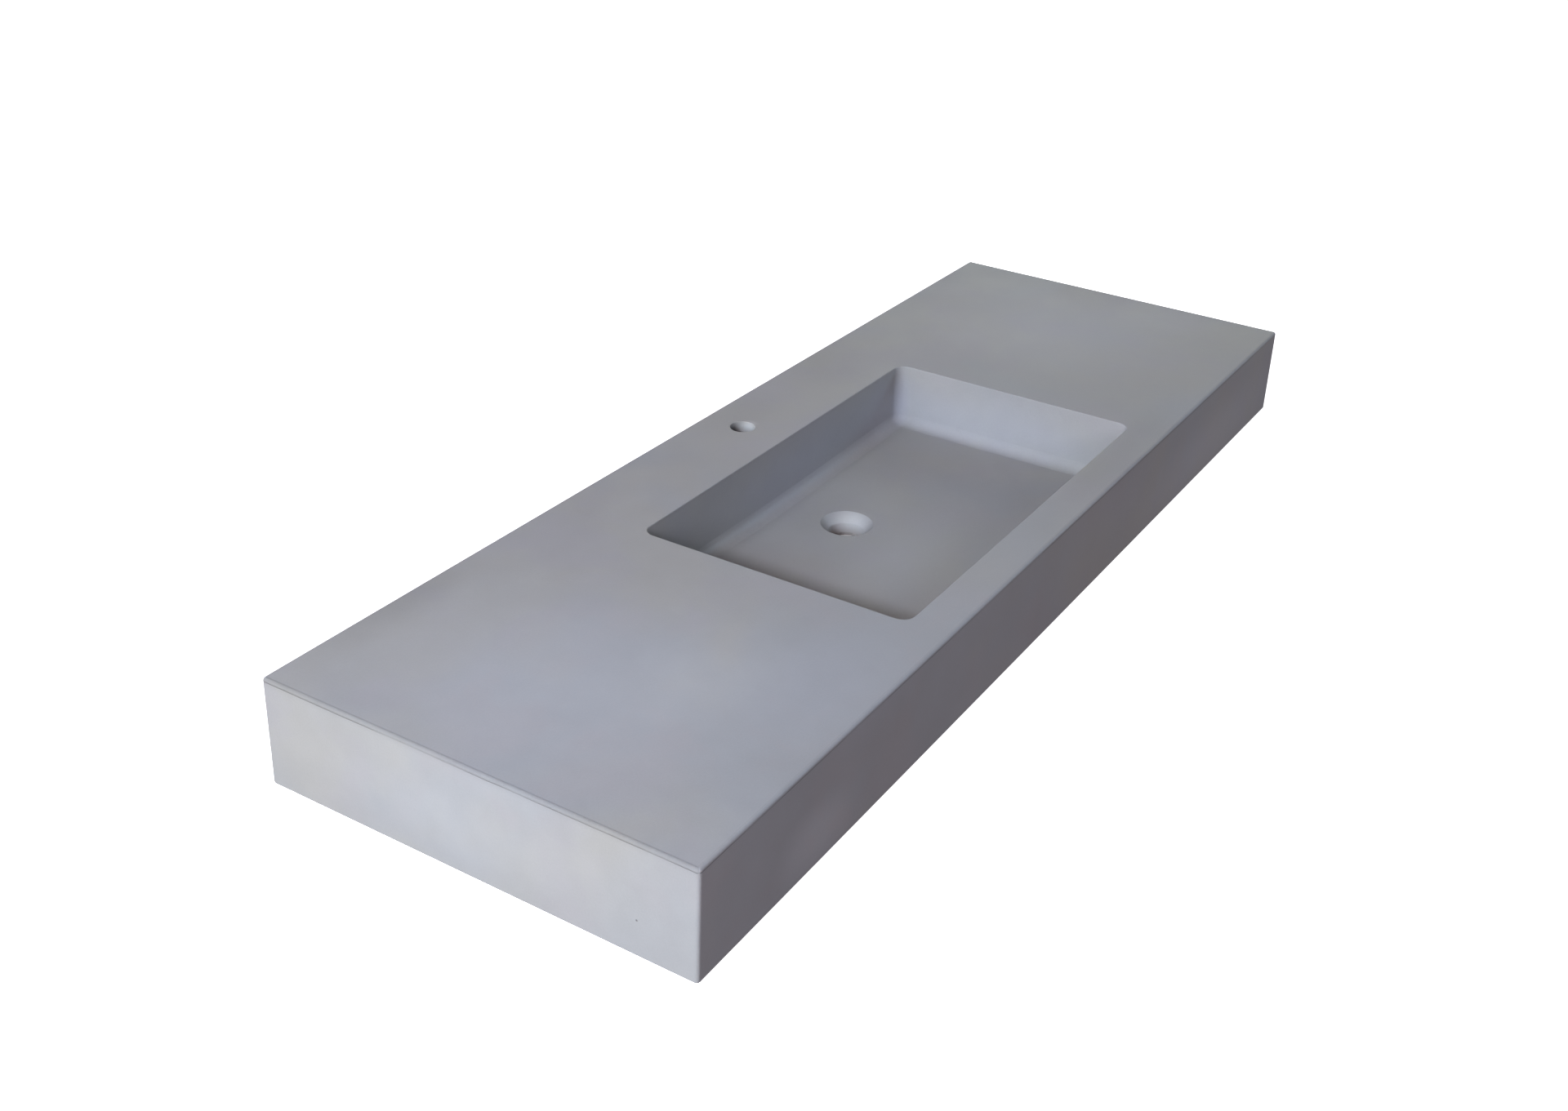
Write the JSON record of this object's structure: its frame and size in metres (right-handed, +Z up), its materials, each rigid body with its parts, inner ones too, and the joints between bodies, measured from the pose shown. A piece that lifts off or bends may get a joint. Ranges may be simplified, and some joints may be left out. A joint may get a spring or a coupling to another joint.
{
  "type": "washbasin",
  "caption": "Wide wall-hung washbasin cast in pale grey concrete, with a sunk rectangular bowl, waste outlet, tap hole and concealed steel brackets with levelling screws.",
  "frame": {"origin": "centre of the footprint on the plane of the aprons' lower edges", "axes": "+X along the front to the right as one stands before it, +Y towards the wall, +Z up"},
  "size_m": [1.5, 0.508, 0.123],
  "materials": {
    "concrete": "pale grey cast concrete, smooth satin sealed face with faint clouding",
    "bracket_steel": "dark grey powder-coated steel",
    "zinc_fasteners": "bright zinc-plated steel",
    "socket_brass": "turned brass",
    "pad_rubber": "black rubber",
    "plug_plastic": "black moulded plastic"
  },
  "bodies": {
    "root": {"basin_shell": "concrete", "threaded_sockets": "socket_brass", "crush_sleeves": "zinc_fasteners", "rubber_pads": "pad_rubber", "bolt_washers": "zinc_fasteners", "hold_down_bolts": "zinc_fasteners", "weld_nuts": "bracket_steel", "lock_nuts": "zinc_fasteners", "arm_end_plugs": "plug_plastic", "left_outer_wall_plate": "bracket_steel", "left_outer_arm": "bracket_steel", "left_outer_gusset": "bracket_steel", "left_inner_wall_plate": "bracket_steel", "left_inner_arm": "bracket_steel", "left_inner_gusset": "bracket_steel", "right_inner_wall_plate": "bracket_steel", "right_inner_arm": "bracket_steel", "right_inner_gusset": "bracket_steel", "right_outer_wall_plate": "bracket_steel", "right_outer_arm": "bracket_steel", "right_outer_gusset": "bracket_steel"},
    "left_outer_foot": {"left_outer_levelling_foot": "zinc_fasteners"},
    "left_outer_screw": {"left_outer_levelling_screw": "zinc_fasteners"},
    "left_inner_foot": {"left_inner_levelling_foot": "zinc_fasteners"},
    "left_inner_screw": {"left_inner_levelling_screw": "zinc_fasteners"},
    "right_inner_foot": {"right_inner_levelling_foot": "zinc_fasteners"},
    "right_inner_screw": {"right_inner_levelling_screw": "zinc_fasteners"},
    "right_outer_foot": {"right_outer_levelling_foot": "zinc_fasteners"},
    "right_outer_screw": {"right_outer_levelling_screw": "zinc_fasteners"}
  },
  "joints": [
    {"name": "left_outer_foot_travel", "type": "slide", "parent": "root", "child": "left_outer_foot", "axis": [0, 0, 1], "range_m": [-0.006, 0]},
    {"name": "left_outer_screw_turn", "type": "hinge", "parent": "left_outer_foot", "child": "left_outer_screw", "pos_m": [-0.6205, -0.148, 0.0555], "axis": [0, 0, 1], "range_deg": [-1728, 0]},
    {"name": "left_inner_foot_travel", "type": "slide", "parent": "root", "child": "left_inner_foot", "axis": [0, 0, 1], "range_m": [-0.006, 0]},
    {"name": "left_inner_screw_turn", "type": "hinge", "parent": "left_inner_foot", "child": "left_inner_screw", "pos_m": [-0.4305, -0.148, 0.0555], "axis": [0, 0, 1], "range_deg": [-1728, 0]},
    {"name": "right_inner_foot_travel", "type": "slide", "parent": "root", "child": "right_inner_foot", "axis": [0, 0, 1], "range_m": [-0.006, 0]},
    {"name": "right_inner_screw_turn", "type": "hinge", "parent": "right_inner_foot", "child": "right_inner_screw", "pos_m": [0.4305, -0.148, 0.0555], "axis": [0, 0, 1], "range_deg": [-1728, 0]},
    {"name": "right_outer_foot_travel", "type": "slide", "parent": "root", "child": "right_outer_foot", "axis": [0, 0, 1], "range_m": [-0.006, 0]},
    {"name": "right_outer_screw_turn", "type": "hinge", "parent": "right_outer_foot", "child": "right_outer_screw", "pos_m": [0.6205, -0.148, 0.0555], "axis": [0, 0, 1], "range_deg": [-1728, 0]}
  ],
  "couplings": [
    {"joint": "left_outer_screw_turn", "follows": "left_outer_foot_travel", "rad_per_m": 5026.5},
    {"joint": "left_inner_screw_turn", "follows": "left_inner_foot_travel", "rad_per_m": 5026.5},
    {"joint": "right_inner_screw_turn", "follows": "right_inner_foot_travel", "rad_per_m": 5026.5},
    {"joint": "right_outer_screw_turn", "follows": "right_outer_foot_travel", "rad_per_m": 5026.5}
  ]
}
